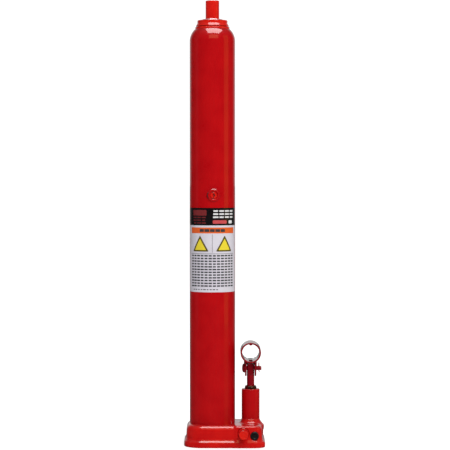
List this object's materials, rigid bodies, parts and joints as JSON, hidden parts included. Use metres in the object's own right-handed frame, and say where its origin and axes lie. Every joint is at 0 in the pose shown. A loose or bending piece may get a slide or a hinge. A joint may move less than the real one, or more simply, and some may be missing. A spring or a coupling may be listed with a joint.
{
  "type": "bottle jack",
  "caption": "Long-ram hydraulic bottle jack: tall red reservoir tube on a cast base, side hand pump with handle socket, release valve and ram spigot",
  "frame": {"origin": "on the ram axis, on the flat underside of the base", "axes": "+Z along the ram, upwards; +X from the ram to the pump; -Y towards the user, where the handle socket and the release valve face"},
  "size_m": [0.1117, 0.107, 0.62],
  "materials": {
    "red_enamel": "glossy enamel",
    "red_casting": "glossy enamel over rough casting",
    "orange_red_enamel": "glossy enamel",
    "black_paint": "satin black",
    "dark_steel": "oiled dark steel",
    "steel": "turned steel",
    "ground_ram": "ground and plated",
    "bronze": "turned bronze",
    "copper": "soft copper",
    "black_rubber": "matte",
    "wear_plastic": "matte",
    "black_plastic": "moulded, matte",
    "label_black": "printed vinyl",
    "label_white": "printed vinyl"
  },
  "bodies": {
    "root": {"base": "red_casting", "reservoir_tube": "red_enamel", "hydraulic_cylinder": "steel", "cylinder_gasket": "copper", "reservoir_seal": "black_rubber", "tank_nut": "orange_red_enamel", "tank_nut_oring": "black_rubber", "rod_guide": "bronze", "rod_wiper": "black_rubber", "filler_boss": "red_enamel", "filler_plug": "orange_red_enamel", "filler_plug_oring": "black_rubber", "label_header": "label_black", "label_panel": "label_white", "pump_cylinder": "red_enamel", "pump_gasket": "copper", "plunger_seal": "black_rubber", "pump_gland": "dark_steel", "link_lower_pin": "steel", "link_lower_clips": "dark_steel", "safety_screw": "steel", "safety_spring": "steel", "safety_cap": "black_plastic", "discharge_plug": "red_enamel", "discharge_spring": "steel", "release_gland": "red_enamel", "suction_screen": "steel", "gallery_plugs": "steel", "safety_ball": "steel"},
    "ram": {"ram_rod": "ground_ram", "ram_tip": "red_enamel", "piston": "steel", "piston_wear_ring": "wear_plastic", "piston_cup_seal": "black_rubber", "piston_backup_ring": "steel", "piston_nut": "steel"},
    "plunger": {"plunger": "red_enamel"},
    "socket": {"handle_socket": "red_enamel", "plunger_pin": "red_enamel", "plunger_pin_cotter": "red_enamel", "link_upper_pin": "red_enamel"},
    "link": {"link": "black_paint"},
    "release_valve": {"release_stem": "steel", "release_knob": "orange_red_enamel", "release_oring": "black_rubber", "release_ball": "steel"},
    "suction_valve": {"suction_ball": "steel"},
    "discharge_valve": {"discharge_ball": "steel"}
  },
  "joints": [
    {"name": "ram_slide", "type": "slide", "parent": "root", "child": "ram", "axis": [0, 0, 1], "range_m": [0, 0.49]},
    {"name": "handle_swing", "type": "hinge", "parent": "plunger", "child": "socket", "pos_m": [0.0535, 0, 0.1063], "axis": [1, 0, 0], "range_deg": [-22, 22]},
    {"name": "plunger_slide", "type": "slide", "parent": "root", "child": "plunger", "axis": [0, 0, 1], "range_m": [-0.0103, 0.0103]},
    {"name": "link_swing", "type": "hinge", "parent": "root", "child": "link", "pos_m": [0.0535, 0.02599, 0.038], "axis": [1, 0, 0], "range_deg": [-1.5, 1.5]},
    {"name": "release_turn", "type": "hinge", "parent": "root", "child": "release_valve", "pos_m": [0.0432, -0.04, 0.02], "axis": [0, -1, 0], "range_deg": [0, 360]},
    {"name": "suction_lift", "type": "slide", "parent": "root", "child": "suction_valve", "axis": [0, 0, 1], "range_m": [0, 0.001]},
    {"name": "discharge_lift", "type": "slide", "parent": "root", "child": "discharge_valve", "axis": [1, 0, 0], "range_m": [0, 0.0006]}
  ],
  "couplings": [
    {"joint": "plunger_slide", "follows": "handle_swing", "m_per_rad": -0.02635},
    {"joint": "link_swing", "follows": "handle_swing", "ratio": 0.0629}
  ]
}
